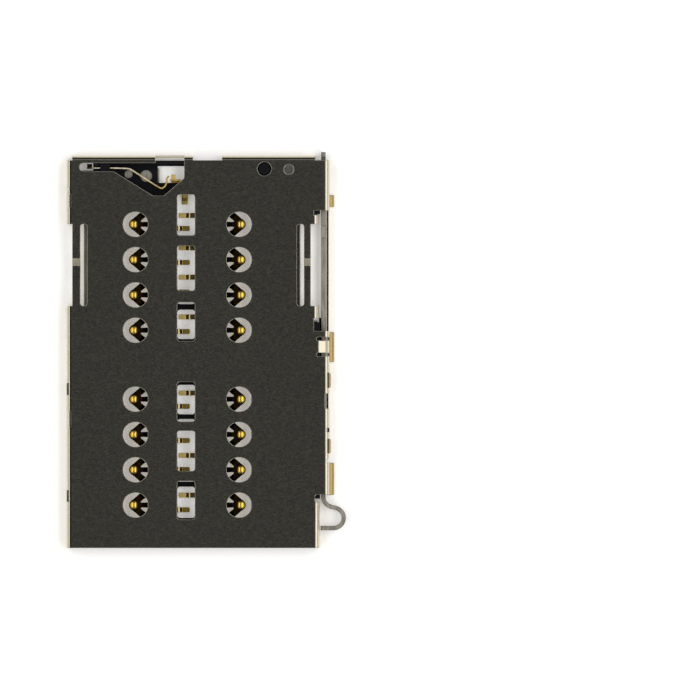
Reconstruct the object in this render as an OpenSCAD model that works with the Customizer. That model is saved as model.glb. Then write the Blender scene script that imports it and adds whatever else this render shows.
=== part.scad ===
// Board socket for a two-card tray: a folded steel cover over a moulded base with spring contacts,
// a card-present switch, and a push rod that swings an eject lever.
// The origin is the middle of the cover on the board; +Y points to the rear, away from the tray mouth.

/* [Cover] */
// Width over the cover's two side walls
cover_w = 18.92; // [18.7:0.02:19.4]
// Length from the cover's front edge to the back of its rear flange
cover_l = 28.24; // [28.1:0.02:28.8]
// Height from the board to the top of the cover
total_h = 1.45; // [1.4:0.01:1.6]
// Thickness of the cover's steel sheet
sheet_t = 0.15; // [0.1:0.01:0.17]
// Outside radius of the folds along the cover's edges
fold_r = 0.34; // [0.28:0.01:0.38]
// Height of the cover walls' lower edge above the board
wall_z = 0.12; // [0.06:0.01:0.2]
// Radius of the look-through hole over each contact
hole_r = 0.895; // [0.8:0.005:0.95]
// Width by which the cover is set back at its front right corner
step_w = 0.72; // [0.6:0.01:0.8]
// Length of that set-back corner
step_l = 3.82; // [3.6:0.01:4]
// Reach of the solder tabs beyond the right wall
tab_l = 0.34; // [0.2:0.01:0.5]
// Width of each latch beam lanced out of the cover
beam_w = 0.49; // [0.4:0.01:0.52]
// Depth of the latch bump in each beam
bump_d = 0.36; // [0.2:0.01:0.4]

/* [Base] */
// Thickness of the moulded floor
floor_t = 0.45; // [0.42:0.01:0.48]
// Thickness of the steel frame moulded into the floor
frame_t = 0.14; // [0.1:0.01:0.15]
// Depth of the frame's lower face above the board
frame_z = 0.1; // [0.06:0.01:0.11]
// Width of the steel rail left bare along the left side
rail_w = 1.98; // [1.8:0.01:2.1]
// Width of the moulded rail that guides the tray's right side
guide_w = 0.72; // [0.5:0.01:0.8]
// Radius of the small round marks where the frame shows through
mark_r = 0.2; // [0.12:0.01:0.24]

/* [Contacts] */
// Distance between neighbouring contact rows
row_pitch = 2.54; // [2.5:0.01:2.56]
// Distance between the two contact columns, bump to bump
column_pitch = 7.68; // [7.6:0.01:7.8]
// Distance between the middles of the two cards
card_pitch = 12.58; // [12.54:0.01:12.64]
// Thickness of the contact strip
strip_t = 0.12; // [0.1:0.01:0.12]
// Overall width of a contact
contact_w = 2.28; // [2.1:0.01:2.3]
// Distance from a contact's bump to the line where it bends up
reach = 2.1; // [2:0.01:2.14]
// Rise of the contact spring at its bump
lift = 0.46; // [0.3:0.01:0.5]
// Width of a solder tail
tail_w = 0.36; // [0.24:0.01:0.38]

/* [Ejector] */
// Thickness of the push rod's strip
rod_t = 0.32; // [0.26:0.01:0.34]
// Height of the push rod's strip
rod_h = 0.6; // [0.5:0.01:0.62]
// Travel of the push rod
rod_travel = 1.2; // [1:0.05:1.2]
// Thickness of the eject lever
lever_t = 0.2; // [0.15:0.01:0.22]
// Width of the eject lever's outer arm
lever_w = 0.4; // [0.3:0.01:0.4]
// Radius of the lever's pin
pin_r = 0.3; // [0.25:0.01:0.32]

/* [Switch] */
// Thickness of the switch leaf
leaf_t = 0.12; // [0.08:0.01:0.13]

/* [Hidden] */
$fn = 48;
over = 1;
running_gap = 0.04;
side_gap = 0.08;
seat_gap = 0.06;

// Edges of the cover
xl = -cover_w / 2;
xr = cover_w / 2;
yf = -cover_l / 2;
yr = cover_l / 2;
top_in = total_h - sheet_t;
step_x = xr - step_w;
step_y = yf + step_l;
top_back = yr - fold_r;

// Contact field: the middle of the two columns, and the middle between the two cards
field_x = -0.77;
field_y = -0.93;
rows = 4;
per_card = 8;
hole_shift = 0.115;
root_z = frame_z + frame_t + running_gap;
tilt = asin(lift / reach);
function bump_x(side) = side * column_pitch / 2;
function row_y(card, row) = field_y + (card - 0.5) * card_pitch + (row - 1.5) * row_pitch;

// Middle slots over the solder tails: spans of the cover's slots and of the floor's windows
slot_x = [field_x - 0.72, field_x + 0.54];
slot_round = 0.2;
cover_slots = [[-12.07, -9.3], [-8.58, -5.69], [-5.02, -2.17], [0.77, 3.56], [4.4, 7.63], [8.36, 11.31]];
floor_slots = [[-11.96, -9.71], [-9.35, -4.84], [-4.5, -2.38], [0.92, 3.03], [3.43, 7.75], [8.38, 11.34]];
// How far each solder tail lies behind its own row, front card first
left_tail_shift = [-0.34, 0.02, -0.44, -0.52, -0.09, 0.21, -0.2, -0.29];
right_tail_shift = [0.71, 1.03, 0.6, 0.44, 0.96, 1.28, 0.85, 0.64];

// Latch beams: span, bump corners, and the strips cut beside them
beam_y = [3.3, 9.18];
bump_y = [5.16, 6.21, 6.71];
left_cut_w = 0.41;
left_extra_w = 0.1;
left_slot_w = 0.48;
right_cut_w = 1.35;
right_slot_w = 0.49;
left_beam_x = [xl + left_cut_w, xl + left_cut_w + beam_w + left_extra_w];
right_beam_x = [xr - right_cut_w - beam_w, xr - right_cut_w];
// The wide part of the right cut-out, where the push rod shows, and its two turned-down flaps
rod_view_y = [1.49, 10.17];
rod_view_w = 1.115;
flap_spans = [[2.43, 3.3], [9.18, 9.84]];
flap_z = 0.75;
// The wall beside the rod is set in a little, and is lower than the rest
rod_wall_in = 0.06;
rod_wall_top = 0.95;

// Push rod
rod_x = xr - sheet_t - 0.13 - rod_t / 2;
rod_z = frame_z + frame_t + running_gap;
rod_back = yr + 0.25;
bend_r = 0.72;
bend_turn = 75;
half_turn = 180;
loop_r = 0.73;
loop_run = 0.4;
loop_start = step_y - 0.15;
// A sloping flat on the rod's upper edge, and a nick across it near the rear end
flat_y = [8.18, 9.06];
flat_d = 0.08;
nick_y = [rod_back - 0.54, rod_back - 0.36];
nick_d = 0.35;
// The straight run between the two bends reaches a little into both, a hair thinner than they are
seam = 0.03;
seam_drop = 0.002;

// Moulded base
mould_xr = rod_x - rod_t / 2 - side_gap;
mould_yf = yf + 0.07;
mould_yr = top_back - 0.02;
frame_xl = xl + sheet_t + seat_gap;
mould_xl = frame_xl + rail_w;
rib_top = top_in - 0.02;
wall_y = mould_yr - 0.26;
right_window_y = [2.14, 9.9];
right_window_x = xr - 2.22;
frame_lip = 0.12;
rear_block_x = xl + 0.49;
rear_block_y = 11.9;
crossbar_y = [-1.19, -0.7];
contact_field_x = [field_x - 5.03, field_x + 5.12];
front_field_y = [-12.47, -1.87];
rear_field_y = [0.08, 10.63];
window_r = 1.05;
window_end = 1.36;

// Switch: leaf line, root, and the window in the floor under its tip
leaf_y = yr - 0.9;
leaf_z = [floor_t + 0.05, top_in - 0.18];
leaf_root_x = [-7.99, -7.63];
leaf_path = [
    [-7.99, 0], [-5.1, 0], [-4.78, -0.12], [-2.8, -1.42],
    [-2.56, -1.47], [-2.36, -1.3], [-2.25, -1], [-2.27, -0.76], [-2.09, -0.56]
];
root_window_x = [-8.62, -7.55];
root_window_y = [leaf_y - 0.17, leaf_y + 0.4];
switch_window_x = [-2.9, -0.85];
switch_window_y = [leaf_y - 1.06, leaf_y + 0.14];
blade_x = [-2.01, -1.22];
blade_y = switch_window_y[0] + 0.13;
lug_x = [-1.93, -1.63];
lug_l = 0.46;
switch_tail_x = [-1.18, -0.745];

// Eject lever: pin place, the two arms' angles and lengths, and the locating post beside it
pivot = [6.53, yr - 1];
lever_z = floor_t + 0.05;
hub_r = 0.6;
outer_reach = rod_x + 0.23 - pivot[0];
outer_drop = 0.23;
outer_len = sqrt(outer_reach * outer_reach + outer_drop * outer_drop);
outer_angle = -atan(outer_drop / outer_reach);
inner_len = 2.8;
inner_angle = 231;
inner_w = 0.44;
rod_slot_y = pivot[1] - outer_drop + 0.01;
rod_slot_l = lever_w + 0.3;
post = [4.78, yr - 0.96];
post_r = 0.42;
post_hole_r = 0.5;
pin_head_r = pin_r + 0.06;

// A box given by its spans along X, Y and Z
module block(x, y, z) {
    translate([x[0], y[0], z[0]]) cube([x[1] - x[0], y[1] - y[0], z[1] - z[0]]);
}

// A box with rounded upright corners
module round_block(x, y, z, r) {
    translate([0, 0, z[0]]) linear_extrude(z[1] - z[0]) {
        translate([x[0] + r, y[0]]) square([x[1] - x[0] - 2 * r, y[1] - y[0]]);
        translate([x[0], y[0] + r]) square([x[1] - x[0], y[1] - y[0] - 2 * r]);
        for (cx = [x[0] + r, x[1] - r], cy = [y[0] + r, y[1] - r]) translate([cx, cy]) circle(r);
    }
}

// A bar along Y whose two upper edges are rounded
module round_bar(x, y, z, r) {
    translate([0, y[1], 0]) rotate([90, 0, 0]) linear_extrude(y[1] - y[0]) {
        translate([x[0], z[0]]) square([x[1] - x[0], z[1] - z[0] - r]);
        translate([x[0] + r, z[0]]) square([x[1] - x[0] - 2 * r, z[1] - z[0]]);
        for (cx = [x[0] + r, x[1] - r]) translate([cx, z[1] - r]) circle(r);
    }
}

// A quarter of a pipe along Y, from facing +X to facing +Z, for a sheet folded down on its right
module right_fold(corner_x, y, r) {
    translate([corner_x - r, y[1], total_h - r]) rotate([90, 0, 0])
        rotate_extrude(angle = 90) translate([r - sheet_t, 0]) square([sheet_t, y[1] - y[0]]);
}

// The cover's top and side walls over one stretch of its length
module folded_sheet(x, y) {
    difference() {
        round_bar(x, y, [wall_z, total_h], fold_r);
        round_bar(
            [x[0] + sheet_t, x[1] - sheet_t], [y[0] - over, y[1] + over],
            [wall_z - over, top_in], fold_r - sheet_t
        );
    }
}

// A stretch of the rear edge folded down behind the base
rear_spans = [[xl + 0.4, -0.36], [1.73, xr - 1.04]];
flange_z = 0.3;
module rear_flange(x) {
    width = x[1] - x[0];
    translate([x[0], top_back, total_h - fold_r]) rotate([90, 0, 90])
        rotate_extrude(angle = 90) translate([fold_r - sheet_t, 0]) square([sheet_t, width]);
    block(x, [yr - sheet_t, yr], [flange_z, total_h - fold_r]);
}

// Opening over the switch: a narrow round-ended band, a pointed window, and its way out to the rear
band_x = -8.22;
band_r = 0.3;
band_y = leaf_y + 0.06;
window_left_x = -6.07;
window_low_x = [-3.24, -2.45];
window_low_y = leaf_y - 1.99;
window_side_y = [leaf_y - 0.76, leaf_y - 0.6];
way_out_x = [-3.06, -1];
module switch_opening() {
    outline = [
        [band_x, band_y + band_r], [band_x, band_y - band_r], [window_left_x, band_y - band_r],
        [window_low_x[0], window_low_y], [window_low_x[1], window_low_y],
        [way_out_x[1] - running_gap, window_side_y[0]], [way_out_x[1], window_side_y[1]],
        [way_out_x[1], yr + over], [way_out_x[0], yr + over], [way_out_x[0], band_y + band_r]
    ];
    translate([0, 0, total_h - fold_r]) linear_extrude(fold_r + over) polygon(outline);
    translate([band_x, band_y, total_h - fold_r]) cylinder(h = fold_r + over, r = band_r);
}

// Everything cut through the cover's top and walls
left_windows = [[-10.81, -9.95], [-3.11, -2.25]];
right_windows = [[-7.31, -6.24], [-2.6, -1.5]];
window_lug = 0.1;
// Slits beside the folds and notches through them: -1 for the left side or 1 for the right, then the span
side_slits = [[-1, 10.41, 11.28], [-1, -5.41, -4.29]];
slit_x = [0.17, 0.3];
// A notch's last number is its depth; behind the first one on the right the wall is pressed in
side_notches = [[1, -4.09, -3, 0.33], [1, -8, -7.68, 0.2], [-1, 11.6, 11.82, 0.2]];
pressed_y = [side_notches[0][1] - seam, side_notches[0][2] + seam];
pressed_in = 0.07;
pressed_top = 0.98;
// A small nick in the right fold only
fold_nick = [1, -5.78, -5.47, 0.2];
nick_z = 1.01;
window_z = [0.4, 0.9];
window_d = 0.17;
strap_y = [-0.33, 1.06];
strap_slot_w = 0.26;
strap_in = [strap_y[0] + strap_slot_w, strap_y[1] - strap_slot_w];
strap_x = xr - 0.81;
strap_slot_x = strap_x + 0.01;
strap_drop = 0.02;
strap_r = 0.5;
strap_slope = 22;
strap_foot_z = 0.6;
knob_window_y = [12.4, 13.4];
corner_relief = [0.33, 0.55];
module side_cut(place, depth, z) {
    x = place[0] < 0 ? [xl + depth[0], xl + depth[1]] : [xr - depth[1], xr - depth[0]];
    block(x, [place[1], place[2]], z);
}

// The room for the strap, and the round-ended slot on each side of it
module strap_cuts() {
    z = [strap_foot_z, total_h + over];
    block([strap_x + seam, xr + over], strap_in, z);
    for (y = [strap_y[0], strap_in[1]]) {
        block([strap_slot_x, xr + over], [y, y + strap_slot_w], z);
        translate([strap_slot_x, y + strap_slot_w / 2, z[0]]) cylinder(h = z[1] - z[0], r = strap_slot_w / 2);
    }
}

module cover_cuts() {
    sheet_z = [total_h - fold_r, total_h + over];
    full_z = [wall_z - over, total_h + over];
    left_slot_x = [left_beam_x[1], left_beam_x[1] + left_slot_w];
    right_slot_x = [right_beam_x[0] - right_slot_w, right_beam_x[0]];
    for (card = [0, 1], row = [0:rows - 1], side = [-1, 1])
        translate([field_x + bump_x(side) - side * hole_shift, row_y(card, row), total_h - fold_r])
            cylinder(h = fold_r + over, r = hole_r);
    for (span = cover_slots) round_block(slot_x, span, sheet_z, slot_round);
    switch_opening();
    translate([post[0], post[1], top_in - over]) cylinder(h = 2 * over, r = post_hole_r);
    translate([pivot[0], pivot[1], top_in - over]) cylinder(h = 2 * over, r = pin_head_r);
    block([xl - over, left_beam_x[0]], beam_y, full_z);
    round_block(left_slot_x, beam_y, sheet_z, slot_round);
    round_block(right_slot_x, beam_y, sheet_z, slot_round);
    block([right_beam_x[1], xr + over], beam_y, full_z);
    block([xr - rod_view_w, xr + over], rod_view_y, full_z);
    for (x = [left_beam_x, right_beam_x]) block(x, [bump_y[0], bump_y[2]], sheet_z);
    strap_cuts();
    for (slit = side_slits) side_cut(slit, slit_x, sheet_z);
    side_cut(fold_nick, [-over, fold_nick[3]], [nick_z, total_h + over]);
    for (notch = side_notches) side_cut(notch, [-over, notch[3]], full_z);
    round_block(
        [step_x - corner_relief[0], step_x + over], [step_y - corner_relief[1], step_y + seam],
        full_z, slot_round
    );
    for (span = left_windows) block([xl - over, xl + window_d], span, [window_z[0], total_h + over]);
    for (span = right_windows) block([xr - window_d, xr + over], span, [window_z[0], total_h + over]);
    block([xr - sheet_t - seat_gap, xr + over], knob_window_y, window_z);
}

// A wall carried down to the board and turned out, or in, as a solder tab with rounded corners
tab_round = 0.06;
tab_bend = 0.14;
module side_tab(wall_x, foot_x, y) {
    block(wall_x, y, [0, wall_z + seat_gap]);
    round_block(foot_x, y, [0, sheet_t], tab_round);
}

// The hollow bend between the right wall and a tab turned out from it
module tab_fillet(y) {
    difference() {
        block([xr - seam, xr + tab_bend], y, [sheet_t - seam, sheet_t + tab_bend]);
        translate([xr + tab_bend, y[1] + over, sheet_t + tab_bend]) rotate([90, 0, 0])
            cylinder(h = y[1] - y[0] + 2 * over, r = tab_bend);
    }
}

// The strap over the rod: it slopes down from the top, then turns down into the wall
module strap() {
    bend = 90 - strap_slope;
    turn_x = xr - strap_r;
    slope_l = (turn_x + strap_r * cos(bend) - strap_x) / cos(strap_slope);
    turn_z = total_h - strap_drop - slope_l * sin(strap_slope) - strap_r * sin(bend);
    width = strap_in[1] - strap_in[0];
    translate([turn_x, strap_in[1], turn_z]) rotate([90, 0, 0]) {
        rotate_extrude(angle = bend) translate([strap_r - sheet_t, 0]) square([sheet_t, width]);
        rotate([0, 0, bend]) translate([strap_r - sheet_t, 0, 0]) cube([sheet_t, slope_l, width]);
    }
    block([xr - sheet_t, xr], strap_in, [strap_foot_z - seam, turn_z]);
}

// A latch beam's bump: the sheet dips steeply at the rear and rises gently to the front
module beam_bump(x) {
    low = total_h - bump_d;
    profile = [
        [bump_y[0], total_h], [bump_y[0], top_in], [bump_y[1], low - sheet_t],
        [bump_y[2], top_in], [bump_y[2], total_h], [bump_y[1], low]
    ];
    translate([x[0], 0, 0]) rotate([90, 0, 90]) linear_extrude(x[1] - x[0]) polygon(profile);
}

right_tabs = [[step_y, -8], [-0.74, 1.42], [10.42, 11.28]];
inner_tab_y = [-1.97, 0.92];
inner_tab_l = 0.7;
rear_tab_y = [11.9, 13.66];
rear_tab_l = 0.3;
under_tab_in = 1.01;
under_tab_w = 0.92;
under_tab_x = [xr - under_tab_in - under_tab_w, xr - under_tab_in];
under_tab_l = 0.7;
module cover_shell() {
    flap_x = xr - rod_view_w + fold_r;
    wall_r = [xr - sheet_t, xr];
    wall_l = [xl, xl + sheet_t];
    rod_wall_x = [xr - rod_wall_in - sheet_t, xr - rod_wall_in];
    lug_z = [wall_z + seam, wall_z + seam + window_lug];
    color("#3a3934") union() {
        difference() {
            union() {
                folded_sheet([xl, xr], [step_y, top_back]);
                folded_sheet([xl, step_x], [yf, step_y]);
                for (span = rear_spans) rear_flange(span);
            }
            cover_cuts();
        }
        for (x = [left_beam_x, right_beam_x]) beam_bump(x);
        for (span = flap_spans) {
            right_fold(flap_x, span, fold_r);
            block([flap_x - sheet_t, flap_x], span, [flap_z, total_h - fold_r]);
        }
        strap();
        for (span = right_windows)
            block([xr - seam, xr + window_lug], [span[0] + seat_gap, span[1] - seat_gap], lug_z);
        block([xr - pressed_in - sheet_t, xr - pressed_in], pressed_y, [wall_z, pressed_top]);
        for (y = right_tabs) {
            side_tab(wall_r, [xr - sheet_t, xr + tab_l], y);
            tab_fillet([y[0] + tab_round, y[1] - tab_round]);
        }
        side_tab(wall_l, [xl, xl + inner_tab_l], inner_tab_y);
        side_tab(wall_l, [xl, xl + rear_tab_l], rear_tab_y);
        block(rod_wall_x, [rod_view_y[0] - side_gap, rod_view_y[1] + side_gap], [wall_z, rod_wall_top]);
        block(under_tab_x, [yr - sheet_t, yr], [0, flange_z]);
        block(under_tab_x, [yr - under_tab_l, yr], [0, sheet_t]);
    }
}

// Round marks where the frame shows through the floor's underside: each column's X, then its Y places
mark_columns = [
    [-6.48, [-8.2, -6.29, -4.3, -3.12, -0.28, 2.06, 4.15, 7.14, 9.21, 11.86]],
    [4.78, [-11.48, -8.2, -6.29, -4.3, -3.2, -1.66, -0.28]],
    [5.32, [2.07, 4.15, 7.14, 9.21, 11.86]],
    [5.5, [-5.5, -3.93]],
    [6.46, [-10.61, -9.31, -5.92, -2.7, -1.66, -0.11, 1.18, 11.68]],
    [7.7, [-7.31, -5.31, -3.3]],
    [7.28, [-13.6, -12.62]],
    [-4.44, [11.86]], [-2.44, [11.86]], [-0.4, [11.86]], [1.56, [11.86]], [3.55, [11.86]],
    [-7.87, [-13.49]], [-6.31, [-11.82]], [6.06, [-13.3]], [8.11, [-10]], [0.36, [12.83]], [-4.97, [12.8]]
];
// Oblong marks of the same kind: middle X and Y, then length along X and Y
oblong_marks = [
    [6.38, 2.19, 0.28, 0.42], [6.38, 4.09, 0.28, 0.42], [6.38, 5.99, 0.28, 0.42], [6.38, 7.89, 0.28, 0.42],
    [6.38, 9.79, 0.28, 0.42], [7.3, -11.16, 0.35, 1.48], [-6.8, -13.6, 0.5, 0.14], [-2.77, -13.6, 0.5, 0.14],
    [1, -13.6, 0.5, 0.14], [5.01, -13.6, 0.5, 0.14], [-4.39, -12.96, 0.5, 0.14], [3.01, -12.96, 0.5, 0.14],
    [-2.33, -12.66, 0.5, 0.14], [0.72, -12.66, 0.5, 0.14], [-2.39, -0.07, 0.5, 0.14],
    [0.79, -0.07, 0.5, 0.14], [-0.86, -12.83, 1.25, 0.38], [3.52, 12.85, 0.66, 0.7]
];
pilot_holes = [[-6.48, -9.8], [5.4, -9.8]];
pilot_r = 0.42;
pilot_clear_r = 0.585;
blind_holes = [[-5.53, -2.12], [4.01, -2.12], [-5.53, 10.8], [4.01, 10.8]];
blind_r = 0.25;
top_marks = [[-5, leaf_y - 0.43, 0.29], [-3.74, leaf_y - 0.57, 0.43]];

// The floor's outline, with a ledge at the front right and two steps back at the front left
front_ledge = 0.75;
front_lip = 0.6;
left_steps_x = [xl + 0.81, mould_xl - 0.73];
left_steps_y = [yf + 1.25, yf + 2.37];
guide_front = step_y - 0.27;
module mould_outline() {
    front_right = step_x - guide_w;
    ledge_x = step_x - seat_gap - sheet_t;
    polygon([
        [left_steps_x[0], mould_yf], [ledge_x, mould_yf],
        [ledge_x, mould_yf + front_ledge], [front_right, mould_yf + front_ledge],
        [front_right, guide_front], [mould_xr, guide_front],
        [mould_xr, right_window_y[0]], [right_window_x, right_window_y[0]],
        [right_window_x, right_window_y[1]], [mould_xr, right_window_y[1]],
        [mould_xr, mould_yr], [rear_block_x, mould_yr],
        [rear_block_x, rear_block_y], [mould_xl, rear_block_y],
        [mould_xl, left_steps_y[1]], [left_steps_x[1], left_steps_y[1]],
        [left_steps_x[1], left_steps_y[0]], [left_steps_x[0], left_steps_y[0]]
    ]);
}

// The opening around one column of contacts: a bay per contact, with round ends under the cover's holes
bay_edge = -0.13;
bay_gap = 0.1;
bay_relief_r = 0.2;
bay_limit = -0.75;
module contact_window(card, side) {
    inner_x = reach + bay_gap;
    deep = [-over, floor_t + over];
    limit = card == 0 && side > 0 ? bay_limit : bay_limit - over;
    first = row_y(card, 0) - window_end;
    last = row_y(card, rows - 1) + window_end;
    translate([field_x, 0, 0]) mirror([side > 0 ? 1 : 0, 0, 0]) translate([bump_x(-1), 0, 0]) {
        block([bay_edge, inner_x], [first, last], deep);
        for (row = [0:rows - 1]) intersection() {
            translate([hole_shift, row_y(card, row), deep[0]]) cylinder(h = deep[1] - deep[0], r = window_r);
            block([limit, inner_x], [first, last], deep);
        }
        for (row = [0:rows - 2]) translate([inner_x, row_y(card, row) + row_pitch / 2, deep[0]])
            cylinder(h = deep[1] - deep[0], r = bay_relief_r);
    }
}

// What stands up from the floor: tray guide, rear wall, locating post, the leaf's holder, and the rod's shelf
holder_x = [-7.5, -7.15];
holder_y = leaf_y - 0.27;
bridge_x = [-7.05, -6.33];
bridge_gap = 0.07;
rear_guide_l = 1.1;
hub_gap = 0.3;
post_rise = 0.06;
shelf_y = [-0.6, 2.45];
module mould_ribs() {
    guide_x = [mould_xr - guide_w, mould_xr];
    rear_z = [0, rib_top];
    block([left_steps_x[0], step_x], [mould_yf, mould_yf + front_lip], [0, wall_z - running_gap]);
    block(guide_x, [guide_front, right_window_y[0]], rear_z);
    block(guide_x, [right_window_y[1], right_window_y[1] + rear_guide_l], rear_z);
    block([rear_block_x, pivot[0] - hub_r - hub_gap], [wall_y, mould_yr], rear_z);
    block([rear_block_x, root_window_x[0]], [rear_block_y, mould_yr], rear_z);
    block([mould_xr - side_gap, xr - rod_wall_in - sheet_t - seat_gap], shelf_y, [0, rod_z - running_gap]);
    translate([post[0], post[1], 0]) cylinder(h = top_in + post_rise, r = post_r);
    block(holder_x, [holder_y, leaf_y - leaf_t / 2 - seat_gap], rear_z);
    block(holder_x, [leaf_y + leaf_t / 2 + seat_gap, mould_yr], rear_z);
    block(bridge_x, [holder_y, mould_yr], [leaf_z[1] + bridge_gap, rib_top]);
}

// Shallow recesses in the underside at the rear, and the notch that bares the frame's rear tab
corner_recess = [pivot[0] - 0.9, 0.2];
key_recess_x = [1.53, 2.73];
key_recess_l = 0.98;
key_recess_y = [yr - 0.46 - key_recess_l, yr - 0.46];
rear_notch_x = [-0.24, 1.1];
rear_notch_d = 0.25;
module underside_cuts() {
    low = -over;
    block([corner_recess[0], mould_xr + over], [pivot[1], mould_yr + over], [low, corner_recess[1]]);
    block(key_recess_x, key_recess_y, [low, frame_z]);
    block(rear_notch_x, [mould_yr - rear_notch_d, mould_yr + over], [low, floor_t + over]);
    block([mould_xl - over, mould_xr + over], crossbar_y, [low, frame_z]);
}

module base_housing() {
    below = [-over, frame_z];
    color("#1b2230") difference() {
        union() {
            linear_extrude(floor_t) mould_outline();
            mould_ribs();
        }
        for (card = [0, 1], side = [-1, 1]) contact_window(card, side);
        for (span = floor_slots) round_block(slot_x, span, [-over, floor_t + over], slot_round);
        block(root_window_x, root_window_y, [-over, floor_t + over]);
        block(switch_window_x, switch_window_y, [-over, floor_t + over]);
        underside_cuts();
        for (column = mark_columns, y = column[1]) translate([column[0], y, below[0]])
            cylinder(h = below[1] - below[0], r = mark_r);
        for (m = oblong_marks)
            block([m[0] - m[2] / 2, m[0] + m[2] / 2], [m[1] - m[3] / 2, m[1] + m[3] / 2], below);
        for (p = top_marks) translate([p[0], p[1], frame_z + frame_t]) cylinder(h = over, r = p[2]);
        for (p = pilot_holes) translate([p[0], p[1], -over]) cylinder(h = 3 * over, r = pilot_clear_r);
        for (p = blind_holes) translate([p[0], p[1], -over]) cylinder(h = over + root_z, r = blind_r);
        frame_sheet();
        for (i = [1:2 * per_card]) contact_root(i);
        switch_root();
    }
}

// The steel sheet moulded into the floor, bare along the left rail
rail_end = 11.46;
rail_end_x = mould_xl - 1.24;
rail_window_x = left_beam_x[1] + 0.24;
tab_gap = 0.06;
tab_clear = 0.56;
bead_x = mould_xl - 0.45;
bead_y = [-11.33, 11.41];
edge_cover = 0.18;
frame_rear = [yr - 1.3, yr - 1.6, yr - 0.92];
frame_rear_x = 5.3;
rear_lug_x = [0.12, 0.83];
module frame_sheet() {
    z = [frame_z, frame_z + frame_t];
    deep = [frame_z - over, frame_z + over];
    right = mould_xr - edge_cover;
    front = mould_yf + edge_cover;
    lip_x = right_window_x + frame_lip;
    window_y = [right_window_y[0] + frame_lip, right_window_y[1] - frame_lip];
    notch_y = [inner_tab_y[0] - tab_gap, inner_tab_y[1] + tab_clear];
    switch_tail_gap = [rear_field_y[1] - over, floor_slots[len(floor_slots) - 1][1] + frame_lip];
    difference() {
        union() {
            block([frame_xl, mould_xl + over], [front, rear_block_y], z);
            block([mould_xl, step_x - guide_w - edge_cover], [front, frame_rear[0]], z);
            block([mould_xl, right], [step_y, frame_rear[1]], z);
            block([mould_xl, rod_x + rod_t / 2], crossbar_y, z);
            block([mould_xl, frame_rear_x], [frame_rear[1], frame_rear[2]], z);
            block(rear_lug_x, [frame_rear[1], mould_yr - side_gap], z);
        }
        block([frame_xl - over, rail_end_x], [rail_end, rear_block_y + over], deep);
        block([frame_xl - over, xl + inner_tab_l + tab_gap], notch_y, deep);
        block([frame_xl - over, rail_window_x], window_y, deep);
        block([lip_x, right + over], window_y, deep);
        for (y = [front_field_y, rear_field_y]) block(contact_field_x, y, deep);
        block([slot_x[0] - frame_lip, slot_x[1] + frame_lip], switch_tail_gap, deep);
        block([switch_window_x[0] + frame_lip, switch_window_x[1] - frame_lip], switch_window_y, deep);
        for (p = pilot_holes) translate([p[0], p[1], deep[0]]) cylinder(h = 2 * over, r = pilot_r);
    }
}

// The frame with the stiffening bead pressed along its bare rail
module base_frame() {
    bead_r = 0.09;
    length = bead_y[1] - bead_y[0];
    color("#98978a") union() {
        difference() {
            frame_sheet();
            translate([bead_x, bead_y[1], frame_z + frame_t]) rotate([90, 0, 0])
                cylinder(h = length, r = bead_r / 2);
        }
        difference() {
            translate([bead_x, bead_y[1], frame_z]) rotate([90, 0, 0]) cylinder(h = length, r = bead_r);
            block([bead_x - over, bead_x + over], bead_y, [frame_z, frame_z + over]);
        }
    }
}

// A contact's place: front card first, left column first, rows from front to rear
function card_of(i) = floor((i - 1) / per_card);
function row_of(i) = (i - 1) % rows;
function side_of(i) = floor((i - 1) / rows) % 2 == 0 ? -1 : 1;
function place_of(i) = card_of(i) * rows + row_of(i);
function tail_shift(i) = side_of(i) < 0 ? left_tail_shift[place_of(i)] : right_tail_shift[place_of(i)];

// Carries a contact drawn for the left column, bump at the origin, to its own place
module at_contact(i) {
    translate([field_x, row_y(card_of(i), row_of(i)), 0]) mirror([side_of(i) > 0 ? 1 : 0, 0, 0])
        translate([bump_x(-1), 0, 0]) children();
}

// The flat root under the moulding: a wide bar, then a strip that leads to the solder tail
root_bar = 0.34;
module contact_root(i) {
    z = [root_z, root_z + strip_t];
    shift = tail_shift(i);
    edge = (side_of(i) < 0 ? slot_x[0] - field_x : field_x - slot_x[1]) - bump_x(-1);
    lane = reach + root_bar + 0.06;
    at_contact(i) {
        block([reach, reach + root_bar], [-contact_w / 2, contact_w / 2], z);
        block([reach + root_bar, lane + tail_w], [-tail_w / 2, tail_w / 2], z);
        block([lane, lane + tail_w], [min(0, shift) - tail_w / 2, max(0, shift) + tail_w / 2], z);
        block([lane, edge], [shift - tail_w / 2, shift + tail_w / 2], z);
    }
}

// A solder tail seen from the side: level, then down a slope to the board, then a flat foot
tail_slope = 0.24;
module tail_side(level, slope, foot) {
    bite = strip_t * tan(atan(root_z / slope) / 2);
    top = root_z + strip_t;
    down = level + slope;
    polygon([
        [0, root_z], [level, root_z], [down, 0], [down + foot, 0],
        [down + foot, strip_t], [down + bite, strip_t], [level + bite, top], [0, top]
    ]);
}

// The tail's strip, with the corners of its foot rounded
tail_round = 0.08;
module tail(level, slope, foot, width) {
    r = min(tail_round, foot / 4);
    down = level + slope;
    side = [-width / 2, width / 2];
    translate([0, width / 2, 0]) rotate([90, 0, 0]) linear_extrude(width) tail_side(level, slope, foot - r);
    round_block([down + r, down + foot], side, [0, strip_t], r);
}

left_level = 0.15;
right_level = 0.42;
tail_foot = 0.49;
module contact_tail(i) {
    left = side_of(i) < 0;
    edge = (left ? slot_x[0] - field_x : field_x - slot_x[1]) - bump_x(-1);
    at_contact(i) translate([edge, tail_shift(i), 0])
        tail(left ? left_level : right_level, tail_slope, tail_foot, tail_w);
}

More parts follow.
